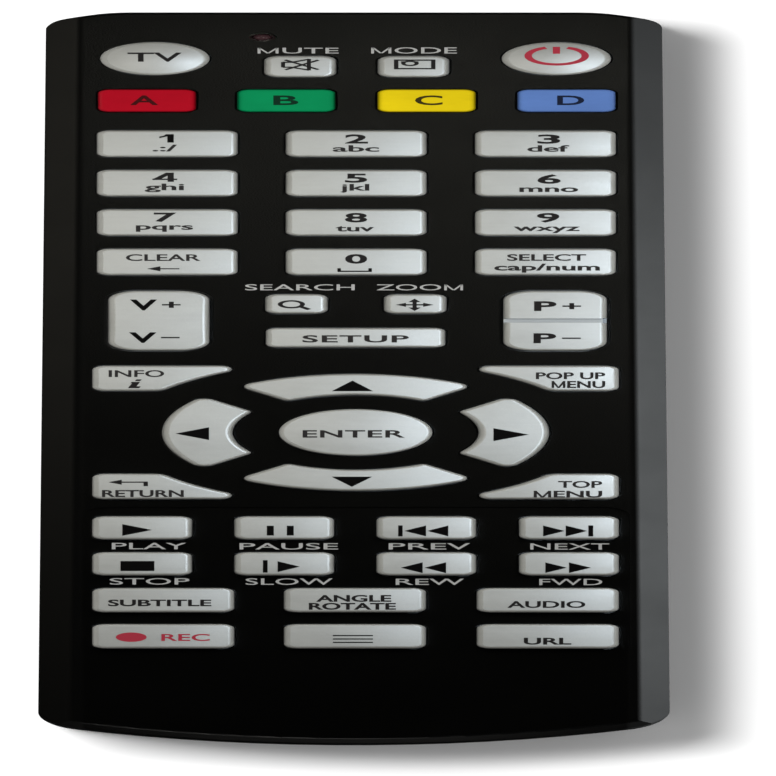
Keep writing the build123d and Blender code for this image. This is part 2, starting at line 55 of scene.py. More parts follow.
def mm_x(px):
    return (px - MID_X) / PX_X


def mm_y(py):
    return (MID_Y - py) / PX_Y


# ------------------------------------------------------------------ materials
def new_material(name):
    m = bpy.data.materials.new(name)
    m.use_nodes = True
    nt = m.node_tree
    nt.nodes.clear()
    out = nt.nodes.new("ShaderNodeOutputMaterial")
    bsdf = nt.nodes.new("ShaderNodeBsdfPrincipled")
    nt.links.new(bsdf.outputs[0], out.inputs[0])
    return m, nt, bsdf


def coords(nt, scale=(1, 1, 1)):
    tc = nt.nodes.new("ShaderNodeTexCoord")
    mp = nt.nodes.new("ShaderNodeMapping")
    mp.inputs["Scale"].default_value = scale
    nt.links.new(tc.outputs["Object"], mp.inputs["Vector"])
    return mp.outputs["Vector"]


def noise(nt, vec, scale, detail=2.0, rough=0.5):
    n = nt.nodes.new("ShaderNodeTexNoise")
    n.inputs["Scale"].default_value = scale
    n.inputs["Detail"].default_value = detail
    n.inputs["Roughness"].default_value = rough
    nt.links.new(vec, n.inputs["Vector"])
    return n.outputs["Fac"]


def spread(nt, fac, lo, hi, a=0.3, b=0.7):
    r = nt.nodes.new("ShaderNodeMapRange")
    r.inputs["From Min"].default_value = a
    r.inputs["From Max"].default_value = b
    r.inputs["To Min"].default_value = lo
    r.inputs["To Max"].default_value = hi
    nt.links.new(fac, r.inputs["Value"])
    return r.outputs["Result"]


def tinted(nt, colour, fac):
    """colour times fac."""
    mix = nt.nodes.new("ShaderNodeVectorMath")
    mix.operation = "SCALE"
    mix.inputs[0].default_value = colour
    nt.links.new(fac, mix.inputs["Scale"])
    return mix.outputs[0]


def bump(nt, height, strength, distance):
    b = nt.nodes.new("ShaderNodeBump")
    b.inputs["Strength"].default_value = strength
    b.inputs["Distance"].default_value = distance
    nt.links.new(height, b.inputs["Height"])
    return b.outputs["Normal"]


def shell_material():
    """Black moulded plastic: fine spark texture, faint handling marks, and a coarser grain on the sloped bands."""
    m, nt, p = new_material("black_shell")
    v = coords(nt)
    fine = noise(nt, v, 5200, 2.0, 0.6)
    wear = noise(nt, v, 60, 5.0, 0.6)
    nt.links.new(tinted(nt, (0.0010, 0.0010, 0.0009), spread(nt, wear, 0.9, 1.12)), p.inputs["Base Color"])
    split = nt.nodes.new("ShaderNodeSeparateXYZ")
    nt.links.new(v, split.inputs[0])
    side = nt.nodes.new("ShaderNodeMath")
    side.operation = "ABSOLUTE"
    nt.links.new(split.outputs["X"], side.inputs[0])
    band = nt.nodes.new("ShaderNodeMapRange")
    band.interpolation_type = "SMOOTHSTEP"
    band.inputs["From Min"].default_value = 0.0224
    band.inputs["From Max"].default_value = 0.0231
    band.inputs["To Max"].default_value = 0.38
    nt.links.new(side.outputs[0], band.inputs["Value"])
    rough = nt.nodes.new("ShaderNodeMath")
    rough.operation = "ADD"
    nt.links.new(spread(nt, wear, 0.35, 0.41), rough.inputs[0])
    nt.links.new(band.outputs["Result"], rough.inputs[1])
    nt.links.new(rough.outputs[0], p.inputs["Roughness"])
    nt.links.new(bump(nt, fine, 0.22, 0.00004), p.inputs["Normal"])
    p.inputs["Specular IOR Level"].default_value = 0.4
    return m


def key_material(name, colour, rough=0.46, spec=0.42):
    """Dark rubber key with a coloured hard coat on its cap, slightly mottled. Low down the cap's sides the base colour
    fades from the coat's colour to dark rubber: partly the dark rubber under the coat, partly painted shade on the
    lower walls, in the gap round the cap and on groove floors.
    """
    m, nt, p = new_material(name)
    v = coords(nt)
    cloud = noise(nt, v, 240, 3.0, 0.6)
    grain = noise(nt, v, 3600, 2.0, 0.6)
    brushed = noise(nt, coords(nt, (90, 1500, 90)), 1.0, 3.0, 0.6)
    a = spread(nt, cloud, 0.925, 1.05)
    b = spread(nt, brushed, 0.985, 1.015)
    mul = nt.nodes.new("ShaderNodeMath")
    mul.operation = "MULTIPLY"
    nt.links.new(a, mul.inputs[0])
    nt.links.new(b, mul.inputs[1])
    split = nt.nodes.new("ShaderNodeSeparateXYZ")
    nt.links.new(coords(nt), split.inputs[0])
    # painted shade: below this height band the colour goes dark, standing in for the shade on the lower walls, in the
    # gap round the cap and in grooves, as well as for the dark rubber under the coat
    coat_fade_and_painted_shade = nt.nodes.new("ShaderNodeMapRange")
    coat_fade_and_painted_shade.interpolation_type = "SMOOTHSTEP"
    coat_fade_and_painted_shade.inputs["From Min"].default_value = FACE + 0.00005
    coat_fade_and_painted_shade.inputs["From Max"].default_value = FACE + 0.00085
    nt.links.new(split.outputs["Z"], coat_fade_and_painted_shade.inputs["Value"])
    coat = nt.nodes.new("ShaderNodeMix")
    coat.data_type = "RGBA"
    coat.inputs["A"].default_value = (0.010, 0.010, 0.010, 1)
    nt.links.new(coat_fade_and_painted_shade.outputs["Result"], coat.inputs["Factor"])
    nt.links.new(tinted(nt, colour, mul.outputs[0]), coat.inputs["B"])
    nt.links.new(coat.outputs["Result"], p.inputs["Base Color"])
    nt.links.new(spread(nt, cloud, rough - 0.04, rough + 0.05), p.inputs["Roughness"])
    nt.links.new(bump(nt, grain, 0.12, 0.00003), p.inputs["Normal"])
    p.inputs["Specular IOR Level"].default_value = spec
    return m


def plain(name, colour, rough=0.5, metal=0.0, spec=0.5, coat=0.0, grain=0.0):
    m, nt, p = new_material(name)
    p.inputs["Base Color"].default_value = (*colour, 1)
    p.inputs["Roughness"].default_value = rough
    p.inputs["Metallic"].default_value = metal
    p.inputs["Specular IOR Level"].default_value = spec
    p.inputs["Coat Weight"].default_value = coat
    p.inputs["Coat Roughness"].default_value = 0.08
    if grain:
        nt.links.new(bump(nt, noise(nt, coords(nt), grain, 3.0), 0.15, 0.00004), p.inputs["Normal"])
    return m


def board_material():
    """Green solder mask over faint copper tracks."""
    m, nt, p = new_material("board")
    v = coords(nt, (1, 1, 0))
    cells = nt.nodes.new("ShaderNodeTexVoronoi")
    cells.feature = "DISTANCE_TO_EDGE"
    cells.inputs["Scale"].default_value = 190
    nt.links.new(v, cells.inputs["Vector"])
    line = spread(nt, cells.outputs["Distance"], 1.35, 0.85, 0.02, 0.09)
    nt.links.new(tinted(nt, (0.008, 0.095, 0.035), line), p.inputs["Base Color"])
    p.inputs["Roughness"].default_value = 0.32
    p.inputs["Coat Weight"].default_value = 0.4
    p.inputs["Coat Roughness"].default_value = 0.12
    return m


def window_material():
    m, nt, p = new_material("infrared_filter")
    p.inputs["Base Color"].default_value = (0.018, 0.002, 0.004, 1)
    p.inputs["Roughness"].default_value = 0.09
    p.inputs["Coat Weight"].default_value = 0.6
    p.inputs["Coat Roughness"].default_value = 0.04
    return m


MATS = {
    "black_shell": shell_material(),
    "grey_key": key_material("grey_key", (0.276, 0.274, 0.252), 0.45),
    "red_key": key_material("red_key", (0.435, 0.0015, 0.013), 0.42, 0.15),
    "green_key": key_material("green_key", (0.0003, 0.266, 0.092), 0.42, 0.15),
    "yellow_key": key_material("yellow_key", (0.83, 0.625, 0.004), 0.42, 0.15),
    "blue_key": key_material("blue_key", (0.113, 0.218, 0.545), 0.42, 0.15),
    "dark_silicone": plain("dark_silicone", (0.03, 0.03, 0.032), 0.75, grain=2500),
    "board": board_material(),
    "chip": plain("chip", (0.012, 0.012, 0.013), 0.55, grain=4000),
    "infrared_filter": window_material(),
    "clear_blue_resin": plain("clear_blue_resin", (0.30, 0.36, 0.52), 0.08, coat=0.5),
    "red_resin": plain("red_resin", (0.055, 0.026, 0.030), 0.24, coat=1.0),
    "cell_jacket": plain("cell_jacket", (0.10, 0.13, 0.15), 0.26, metal=0.35, coat=0.3),
    "plated_steel": plain("plated_steel", (0.66, 0.65, 0.61), 0.28, metal=1.0),
}
SLOTS = {s["node"]: s["material_slot"] for s in frame["record"]["subparts"]}
for name, ob in NODES.items():
    mat = MATS[SLOTS[name]]
    ob.data.materials.clear()
    ob.data.materials.append(mat)

INK = plain("ink", (0.0034, 0.0032, 0.0033), 0.55, spec=0.15)
INK_THIN = plain("ink_thin", (0.017, 0.0155, 0.016), 0.55, spec=0.2)     # small letters and digits, printed in a thinner film
INK_SMALL = plain("ink_small", (0.027, 0.025, 0.0255), 0.55, spec=0.2)
INK_RED = plain("ink_red", (0.41, 0.032, 0.056), 0.5, spec=0.2)
INK_WHITE = plain("ink_white", (0.43, 0.43, 0.425), 0.5, spec=0.2)
INK_ON = {
    "key_a_red": plain("ink_on_red", (0.055, 0.003, 0.004), 0.5, spec=0.15),
    "key_b_green": plain("ink_on_green", (0.002, 0.030, 0.014), 0.5, spec=0.15),
    "key_c_yellow": plain("ink_on_yellow", (0.042, 0.032, 0.004), 0.5, spec=0.15),
    "key_d_blue": plain("ink_on_blue", (0.008, 0.014, 0.040), 0.5, spec=0.15),
}

# ------------------------------------------------------------------ printed legends
DOME = {"key_tv": (4.53, 0.72, 22.1), "key_power": (4.53, 0.72, 22.1), "key_enter": (6.36, 0.42, 21.8)}
SINK, PROUD = 0.00004, 0.000022          # the ink's underside is in the cap, its top just above it


def surface(node):
    """Height of a key's top at x, y, in metres."""
    if node in DOME:
        r, rise, top = DOME[node]
        lo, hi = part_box(node)
        cx, cy = (lo.x + hi.x) / 2, (lo.y + hi.y) / 2
        ball = (r * r + rise * rise) / (2 * rise)

        def z(x, y):
            d2 = ((x - cx) * 1000) ** 2 + ((y - cy) * 1000) ** 2
            return (top - ball + math.sqrt(max(ball * ball - d2, 0))) / 1000
        return z
    if node is None:
        return lambda x, y: FACE
    lo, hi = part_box(node)                    # the foot stands FOOT_OUT outside the cap
    cx, cy = (lo.x + hi.x) / 2, (lo.y + hi.y) / 2
    ball = CROWN * math.hypot(hi.x - lo.x - 2 * FOOT_OUT, hi.y - lo.y - 2 * FOOT_OUT) / 2
    return lambda x, y: CAP_TOP - ball + math.sqrt(ball * ball - (x - cx) ** 2 - (y - cy) ** 2)


def flat_mesh(loops_or_mesh, name):
    me = bpy.data.meshes.new(name)
    bm = bmesh.new()
    if isinstance(loops_or_mesh, bpy.types.Mesh):
        bm.from_mesh(loops_or_mesh)
    else:
        for loop in loops_or_mesh:
            if len(loop) and isinstance(loop[0][0], (tuple, list)):      # an outline with a hole: a strip of quads
                outer, inner = loop
                n = len(outer)
                a = [bm.verts.new((x, y, 0)) for x, y in outer]
                b = [bm.verts.new((x, y, 0)) for x, y in inner]
                for i in range(n):
                    bm.faces.new((a[i], a[(i + 1) % n], b[(i + 1) % n], b[i]))
            else:
                bm.faces.new([bm.verts.new((x, y, 0)) for x, y in loop])
    bmesh.ops.remove_doubles(bm, verts=bm.verts, dist=1e-7)
    bm.to_mesh(me)
    bm.free()
    return me


def ink(me, name, node, mat, fine=False):
    """Turns a flat mesh (metres, row frame) into a thin closed film that follows the surface under it."""
    bm = bmesh.new()
    bm.from_mesh(me)
    bmesh.ops.triangulate(bm, faces=bm.faces)
    if fine:
        for _ in range(4):
            long = [e for e in bm.edges if e.calc_length() > 0.0005]
            if not long:
                break
            bmesh.ops.subdivide_edges(bm, edges=long, cuts=1)
            bmesh.ops.triangulate(bm, faces=bm.faces)
    for f in bm.faces:
        f.smooth = False
        f.normal_update()
        if f.normal.z < 0:
            f.normal_flip()
    bottom = list(bm.faces)
    res = bmesh.ops.extrude_face_region(bm, geom=bottom)
    top = [v for v in res["geom"] if isinstance(v, bmesh.types.BMVert)]
    z = surface(node)
    topset = set(top)
    for v in bm.verts:
        v.co.z = z(v.co.x, v.co.y) + (PROUD if v in topset else -SINK)
    bmesh.ops.recalc_face_normals(bm, faces=bm.faces)
    out = bpy.data.meshes.new(name)
    bm.to_mesh(out)
    bm.free()
    out.materials.append(mat)
    ob = bpy.data.objects.new(name, out)
    bpy.context.scene.collection.objects.link(ob)
    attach(ob, "case" if node is None else node)
    return ob


_measure = {}


def text_mesh(body, thick=0.0, lean=0.0, space=1.0):
    cu = bpy.data.curves.new("t", "FONT")
    cu.body = body
    cu.size = 1.0
    cu.offset = thick
    cu.shear = lean
    cu.space_character = space
    cu.resolution_u = 4
    ob = bpy.data.objects.new("t", cu)
    bpy.context.scene.collection.objects.link(ob)
    bpy.context.view_layer.update()
    me = bpy.data.meshes.new_from_object(ob)
    bpy.data.objects.remove(ob)
    bpy.data.curves.remove(cu)
    moves = {}
    for f in me.polygons:                    # three corners on one line, as in a T: the middle one moves out by a hair
        if f.area < 1e-6:
            ids = list(f.vertices)
            at = [me.vertices[i].co for i in ids]
            k = max(range(3), key=lambda i: (at[(i + 1) % 3] - at[(i + 2) % 3]).length)
            d = at[(k + 2) % 3] - at[(k + 1) % 3]
            moves[ids[k]] = Vector((-d.y, d.x, 0)).normalized() * 0.003
    for i, move in moves.items():
        me.vertices[i].co += move
    return me


def caps(thick=0.0):
    """Height of a capital letter at size 1."""
    key = round(thick, 4)
    if key not in _measure:
        me = text_mesh("H", thick)
        _measure[key] = max(v.co.y for v in me.vertices) - thick
        bpy.data.meshes.remove(me)
    return _measure[key]


def drawn(letter, x0, x1, y0, y1, s):
    """M or 4 as bars of width s in a box, for weights at which the font's own outline folds over."""
    if letter == "M":
        xm = (x0 + x1) / 2
        wide = 0.8 * s * math.hypot(xm - x0, y1 - y0) / (y1 - y0)
        return [[(x0, y0), (x0 + s, y0), (x0 + s, y1), (x0, y1)], [(x1 - s, y0), (x1, y0), (x1, y1), (x1 - s, y1)],
                [(xm - wide / 2, y0), (xm + wide / 2, y0), (x0 + wide, y1), (x0, y1)],
                [(xm - wide / 2, y0), (xm + wide / 2, y0), (x1, y1), (x1 - wide, y1)]]
    xs, yc = x0 + 0.86 * (x1 - x0) - s, y0 + 0.20 * (y1 - y0)
    wide = s * math.hypot(xs + s - x0, y1 - yc) / (y1 - yc)
    return [[(xs, y0), (xs + s, y0), (xs + s, y1), (xs, y1)], [(x0, yc), (x1, yc), (x1, yc + 0.85 * s), (x0, yc + 0.85 * s)],
            [(x0, yc + 0.4 * s), (x0 + wide, yc + 0.4 * s), (xs + s, y1), (xs + s - wide, y1)]]


def bold_mesh(body, thick, lean, space):
    """The word letter by letter, with M and 4 drawn."""
    stem = [v.co.x for v in text_mesh("I").vertices]
    bm = bmesh.new()
    for i, c in enumerate(body):
        if c == " ":
            continue
        right = max(v.co.x for v in text_mesh(body[:i + 1], 0.0, lean, space).vertices)
        thin = text_mesh(c, 0.0, lean)
        left = right - max(v.co.x for v in thin.vertices) + min(v.co.x for v in thin.vertices)
        if c in "M4":
            tall = max(v.co.y for v in thin.vertices)
            for loop in drawn(c, left - thick, right + thick, -thick, tall + thick, 0.85 * (max(stem) - min(stem)) + 1.6 * thick):
                bm.faces.new([bm.verts.new((x, y, 0)) for x, y in loop])
        else:
            me = text_mesh(c, thick, lean)
            move = left - thick - min(v.co.x for v in me.vertices)
            for v in me.vertices:
                v.co.x += move
            bm.from_mesh(me)
    out = bpy.data.meshes.new("word")
    bm.to_mesh(out)
    bm.free()
    return out


def word(body, x0, x1, top, base, node, mat=INK, thick=0.0, lean=0.0, space=1.0, name=None):
    """A word between photo columns x0 and x1; top and base are the rows of its capital letters."""
    me = bold_mesh(body, thick, lean, space) if thick > 0 and set(body) & set("M4") else text_mesh(body, thick, lean, space)
    xs = [v.co.x for v in me.vertices]
    lo, hi = min(xs), max(xs)
    sx = (mm_x(x1) - mm_x(x0)) / (hi - lo)
    sy = (mm_y(top) - mm_y(base)) / caps(thick)
    for v in me.vertices:
        v.co.x = (mm_x(x0) + (v.co.x - lo) * sx) / 1000
        v.co.y = (mm_y(base) + v.co.y * sy) / 1000
        v.co.z = 0
    flat = flat_mesh(me, "flat")
    bpy.data.meshes.remove(me)
    label = name or "legend_" + "".join(c if c.isalnum() else "_" for c in body.lower())
    ob = ink(flat, label, node, mat, fine=node is not None)
    bpy.data.meshes.remove(flat)
    return ob


def shape(loops, node, mat=INK, name="mark"):
    """Polygons in photo pixels; a pair of loops is a ring."""
    def conv(lp):
        return [(mm_x(x) / 1000, mm_y(y) / 1000) for x, y in lp]
    done = []
    for lp in loops:
        if isinstance(lp[0][0], (tuple, list)):
            done.append((conv(lp[0]), conv(lp[1])))
        else:
            done.append(conv(lp))
    flat = flat_mesh(done, "flat")
    ob = ink(flat, name, node, mat, fine=node is not None)
    bpy.data.meshes.remove(flat)
    return ob


def stroke(x0, y0, x1, y1, w):
    """A straight stroke between two photo points, w mm wide in the object."""
    ax, ay, bx, by = mm_x(x0), mm_y(y0), mm_x(x1), mm_y(y1)
    d = math.hypot(bx - ax, by - ay)
    nx, ny = -(by - ay) / d * w / 2, (bx - ax) / d * w / 2
    pts = [(ax + nx, ay + ny), (ax - nx, ay - ny), (bx - nx, by - ny), (bx + nx, by + ny)]
    return [(x * PX_X + MID_X, MID_Y - y * PX_Y) for x, y in pts]


def box(x0, y0, x1, y1):
    return [(x0, y0), (x1, y0), (x1, y1), (x0, y1)]


def frame_box(x0, y0, x1, y1, w):
    """A rectangle's outline, w mm thick."""
    dx, dy = w * PX_X, w * PX_Y
    return (box(x0, y0, x1, y1), box(x0 + dx, y0 + dy, x1 - dx, y1 - dy))


def tri(x0, x1, y0, y1, way):
    """A solid triangle in the box, pointing right, left, up or down."""
    ym, xm = (y0 + y1) / 2, (x0 + x1) / 2
    return {"right": [(x0, y0), (x1, ym), (x0, y1)], "left": [(x1, y0), (x1, y1), (x0, ym)],
            "up": [(xm, y0), (x1, y1), (x0, y1)], "down": [(x0, y0), (x1, y0), (xm, y1)]}[way]


def ring_arc(cx, cy, r, w, a0, a1, n=48):
    """Part of a round ring, r its middle radius and w its width in mm, angles in degrees counter-clockwise from +X."""
    outer, inner = [], []
    for i in range(n + 1):
        a = math.radians(a0 + (a1 - a0) * i / n)
        for rr, out in ((r + w / 2, outer), (r - w / 2, inner)):
            out.append((cx + rr * math.cos(a) * PX_X, cy - rr * math.sin(a) * PX_Y))
    quads = []
    for i in range(n):
        quads.append([outer[i], outer[i + 1], inner[i + 1], inner[i]])
    return quads


def disc(cx, cy, r, n=48):
    return [(cx + r * math.cos(2 * math.pi * i / n) * PX_X, cy - r * math.sin(2 * math.pi * i / n) * PX_Y) for i in range(n)]


# white words on the case, the same plain words as in the photograph
for text, x0, x1, top, base in (
    ("MUTE", 258.0, 339.0, 47.6, 53.2), ("MODE", 371.5, 457.2, 47.2, 53.2),
    ("SEARCH", 245.5, 355.0, 284.2, 290.0), ("ZOOM", 376.5, 463.2, 284.2, 290.0),
    ("PLAY", 112.4, 187.0, 542.7, 549.0), ("PAUSE", 240.0, 338.5, 543.0, 549.2),
    ("PREV", 389.0, 470.4, 543.0, 549.2), ("NEXT", 530.4, 609.4, 543.2, 549.3),
    ("STOP", 110.2, 190.0, 578.0, 584.3), ("SLOW", 246.0, 333.0, 578.2, 584.5),
    ("REW", 396.0, 464.2, 578.5, 584.6), ("FWD", 539.4, 602.4, 578.6, 584.8),
):
    word(text, x0, x1, top, base, None, INK_WHITE, thick=0.005)

# first row
word("TV", 127.8, 182.0, 52.8, 61.6, "key_tv", INK_THIN, thick=0.014)
power = ring_arc(556.5, 55.8, 2.37, 0.62, 112, 428, 60)
power.append(box(552.6, 46.8, 559.8, 53.8))
shape(power, "key_power", INK_RED, "symbol_power")
shape([stroke(283.2, 62.0, 283.2, 67.4, 0.33), stroke(282.8, 62.3, 291.5, 62.3, 0.33), stroke(282.8, 67.2, 291.5, 67.2, 0.33),
       stroke(291.0, 62.5, 309.5, 59.2, 0.33), stroke(291.0, 67.2, 309.5, 70.2, 0.33), stroke(309.0, 59.0, 309.0, 70.4, 0.33),
       stroke(285.0, 59.9, 318.5, 69.6, 0.33), stroke(285.5, 69.8, 318.5, 60.1, 0.33)], "key_mute", INK_THIN, "symbol_mute")
shape([frame_box(394.0, 59.5, 435.4, 69.3, 0.36)] + ring_arc(410.0, 63.4, 0.56, 0.35, 0, 360, 40)
      + [stroke(401.0, 62.0, 405.5, 62.0, 0.33), stroke(414.5, 62.0, 418.5, 62.0, 0.33)], "key_mode", INK_THIN, "symbol_mode")

# coloured row
for c, x0, x1, node in (("A", 130.5, 158.5, "key_a_red"), ("B", 273.5, 298.5, "key_b_green"),
                        ("C", 415.0, 442.5, "key_c_yellow"), ("D", 557.0, 584.0, "key_d_blue")):
    word(c, x0, x1, 95.8, 104.8, node, INK_ON[node], thick=0.022, name="legend_" + c.lower())

# number pad: digit, its columns and rows, then the small letters
PAD = (
    ("1", 159.0, 175.0, 134.3, 142.8, ".:/", 152.8, 177.3, 145.0, 151.2),
    ("2", 345.0, 368.0, 134.8, 143.2, "abc", 332.8, 379.2, 145.4, 151.5),
    ("3", 537.3, 560.2, 134.9, 143.3, "def", 527.3, 569.0, 145.4, 151.5),
    ("4", 152.7, 177.5, 173.1, 181.5, "ghi", 145.0, 184.3, 183.8, 190.0),
    ("5", 345.0, 367.3, 174.0, 182.3, "jkl", 340.0, 369.3, 184.2, 190.4),
    ("6", 537.3, 560.6, 174.9, 183.3, "mno", 519.3, 578.0, 185.6, 191.8),
    ("7", 154.0, 176.7, 213.0, 221.4, "pqrs", 136.2, 193.3, 223.5, 229.6),
    ("8", 345.0, 367.2, 213.4, 222.0, "tuv", 335.8, 374.2, 225.2, 231.2),
    ("9", 536.8, 559.3, 213.4, 221.9, "wxyz", 513.5, 580.0, 224.7, 230.8),
)
for d, x0, x1, top, base, small, s0, s1, stop, sbase in PAD:
    if d == "1":
        shape([[(167.6, 134.2), (174.0, 134.2), (174.0, 142.6), (167.6, 142.6)],
               [(167.6, 134.2), (167.6, 136.4), (159.6, 138.2), (159.6, 136.6), (163.8, 135.8), (166.4, 134.2)]],
              "key_1", INK, "legend_1")
    else:
        word(d, x0, x1, top, base, "key_" + d, INK_THIN, thick=0.029, name="legend_" + d)
    word(small, s0, s1, stop, sbase, "key_" + d, INK_SMALL, thick=0.023, name="legend_small_" + d)
word("CLEAR", 126.2, 201.0, 254.5, 260.8, "key_clear", INK_SMALL, thick=0.018)
shape([stroke(156, 268.8, 179.6, 268.8, 0.28), tri(147.2, 160.6, 266.3, 271.3, "left")], "key_clear", INK_THIN, "symbol_back")
word("0", 345.2, 367.2, 254.6, 263.2, "key_0", INK_THIN, thick=0.030)
shape([stroke(337.6, 271.3, 371.8, 271.3, 0.36), stroke(339.2, 268.2, 339.2, 271.4, 0.28), stroke(370.2, 268.2, 370.2, 271.4, 0.28)],
      "key_0", INK, "symbol_space")
word("SELECT", 507.0, 586.0, 254.4, 260.6, "key_select", INK_SMALL, thick=0.022)
word("cap/num", 494.2, 599.6, 263.9, 270.3, "key_select", INK_SMALL, thick=0.025)

# rockers and the keys between them
for t, x0, x1, top, base, node in (
    ("V", 130.2, 157.4, 300.0, 309.9, "rocker_volume"), ("V", 129.3, 156.8, 332.8, 342.4, "rocker_volume"),
    ("P", 534.0, 556.4, 301.6, 310.6, "rocker_program"), ("P", 533.4, 556.0, 333.6, 342.8, "rocker_program"),
):
    word(t, x0, x1, top, base, node, INK if t == "V" else INK_THIN, thick=0.030, name="legend_%s_%d" % (t.lower(), top))
for node, cx, cy, plus in (("rocker_volume", 171.6, 304.8, True), ("rocker_volume", 170.6, 337.6, False),
                           ("rocker_program", 571.6, 306.1, True), ("rocker_program", 571.3, 338.2, False)):
    parts = [stroke(cx - 9.3, cy, cx + 9.3, cy, 0.37)]
    if plus:
        parts.append(stroke(cx, cy - 3.1, cx, cy + 3.1, 0.40))
    shape(parts, node, INK_THIN, "symbol_step")
shape(ring_arc(291.5, 304.3, 0.93, 0.40, 0, 360, 40) + [stroke(300.0, 306.4, 309.4, 309.5, 0.46)], "key_search", INK_THIN, "symbol_search")
shape([stroke(401.5, 304.8, 428.5, 304.8, 0.36), stroke(414.6, 301.2, 414.6, 308.4, 0.34),
       tri(395.6, 406.0, 302.8, 306.8, "left"), tri(423.2, 433.6, 302.8, 306.8, "right"),
       tri(408.4, 420.8, 298.7, 302.1, "up"), tri(408.4, 420.8, 307.5, 310.9, "down")], "key_zoom", INK_THIN, "symbol_zoom")
word("SETUP", 302.5, 408.8, 335.5, 342.2, "key_setup", INK_SMALL, thick=0.024, space=1.1)

# navigation pad
word("ENTER", 302.8, 404.8, 430.4, 437.4, "key_enter", INK_SMALL, thick=0.021, space=1.06)
shape([tri(331.8, 373.2, 380.6, 391.2, "up")], "key_up", INK, "symbol_up")
shape([tri(331.6, 372.2, 476.7, 486.8, "down")], "key_down", INK, "symbol_down")
shape([tri(175.6, 209.2, 427.3, 440.0, "left")], "key_left", INK, "symbol_left")
shape([tri(493.4, 528.8, 428.2, 441.0, "right")], "key_right", INK, "symbol_right")
word("INFO", 109.0, 164.4, 370.4, 376.9, "key_info", INK_SMALL, thick=0.017)
shape([[(135.2, 381.1), (136.8, 379.4), (142.0, 379.4), (140.4, 381.1)],
       [(130.6, 383.4), (132.0, 382.0), (140.4, 381.9), (139.0, 383.4)],
       [(133.0, 382.8), (139.8, 382.6), (136.2, 387.0), (129.0, 387.0)],
       [(128.4, 388.2), (129.4, 386.5), (141.0, 386.3), (139.4, 388.2)]], "key_info", INK_THIN, "legend_info_i")
word("POP UP", 535.8, 605.0, 372.6, 378.9, "key_popup_menu", INK_SMALL, thick=0.025)
word("MENU", 551.5, 605.0, 381.2, 387.7, "key_popup_menu", INK_SMALL, thick=0.027, name="legend_menu_a")
shape([stroke(118.5, 482.2, 148.0, 482.2, 0.32), stroke(146.0, 482.2, 146.0, 486.2, 0.36), tri(108.8, 122.0, 479.7, 484.7, "left")],
      "key_return", INK_THIN, "symbol_return")
word("RETURN", 102.4, 184.0, 490.3, 496.8, "key_return", INK_SMALL, thick=0.023)
word("TOP", 558.0, 602.0, 481.2, 487.6, "key_top_menu", INK_SMALL, thick=0.023)
word("MENU", 533.6, 602.0, 491.0, 497.2, "key_top_menu", INK_SMALL, thick=0.024, name="legend_menu_b")

# transport keys
shape([tri(122.6, 152.4, 524.2, 535.8, "right")], "key_play", INK, "symbol_play")
shape([box(267.0, 525.8, 273.9, 535.5), box(287.0, 525.8, 293.8, 535.5)], "key_pause", INK, "symbol_pause")
shape([box(398.2, 525.4, 402.6, 536.4), tri(404.2, 426.0, 525.5, 536.3, "left"), tri(427.2, 448.2, 525.5, 536.3, "left")],
      "key_prev", INK, "symbol_prev")
shape([tri(543.0, 564.4, 525.5, 536.3, "right"), tri(565.6, 587.0, 525.5, 536.3, "right"), box(588.2, 525.4, 593.0, 536.4)],
      "key_next", INK, "symbol_next")
shape([box(120.8, 561.1, 154.6, 571.0)], "key_stop", INK, "symbol_stop")
shape([box(263.1, 560.2, 267.7, 572.6), tri(277.8, 300.0, 561.3, 572.0, "right")], "key_slow", INK, "symbol_slow")
shape([tri(400.8, 422.6, 562.3, 573.1, "left"), tri(424.4, 446.0, 562.3, 573.1, "left")], "key_rewind", INK, "symbol_rewind")
shape([tri(545.2, 566.8, 562.4, 572.9, "right"), tri(568.8, 590.8, 562.4, 572.9, "right")], "key_forward", INK, "symbol_forward")

# bottom rows
word("SUBTITLE", 108.4, 211.6, 599.9, 606.0, "key_subtitle", INK_THIN, thick=0.025)
word("ANGLE", 316.2, 391.4, 595.3, 601.5, "key_angle", INK_THIN, thick=0.030)
word("ROTATE", 309.0, 396.0, 603.2, 609.4, "key_angle", INK_THIN, thick=0.030)
word("AUDIO", 507.2, 585.2, 601.3, 607.6, "key_audio", INK_THIN, thick=0.024)
shape([disc(131.5, 637.2, 1.28)], "key_record", INK_RED, "symbol_record")
word("REC", 161.6, 210.0, 634.2, 640.8, "key_record", INK_RED, thick=0.016)
shape([box(333.0, y - 0.55, 373.0, y + 0.55) for y in (635.6, 639.0, 642.4)], "key_blank", INK, "symbol_list")
word("URL", 523.8, 571.2, 638.0, 644.3, "key_url", INK_THIN, thick=0.027)

# ------------------------------------------------------------------ floor, light and camera
sc = bpy.context.scene
bpy.ops.mesh.primitive_plane_add(size=6.0, location=(0, 0, -0.00002))
floor = bpy.context.object
floor.name = "floor"
fm, fnt, fp = new_material("floor")
fp.inputs["Base Color"].default_value = (0.93, 0.93, 0.93, 1)
fp.inputs["Roughness"].default_value = 0.9
fp.inputs["Specular IOR Level"].default_value = 0.1
floor.data.materials.append(fm)

world = bpy.data.worlds.new("world")
sc.world = world
world.use_nodes = True
bg = world.node_tree.nodes["Background"]
bg.inputs[0].default_value = (1.0, 1.0, 1.0, 1)
bg.inputs[1].default_value = 0.43
world.cycles_visibility.glossy = False       # the dark case reflects the soft boxes only
floor.visible_glossy = False

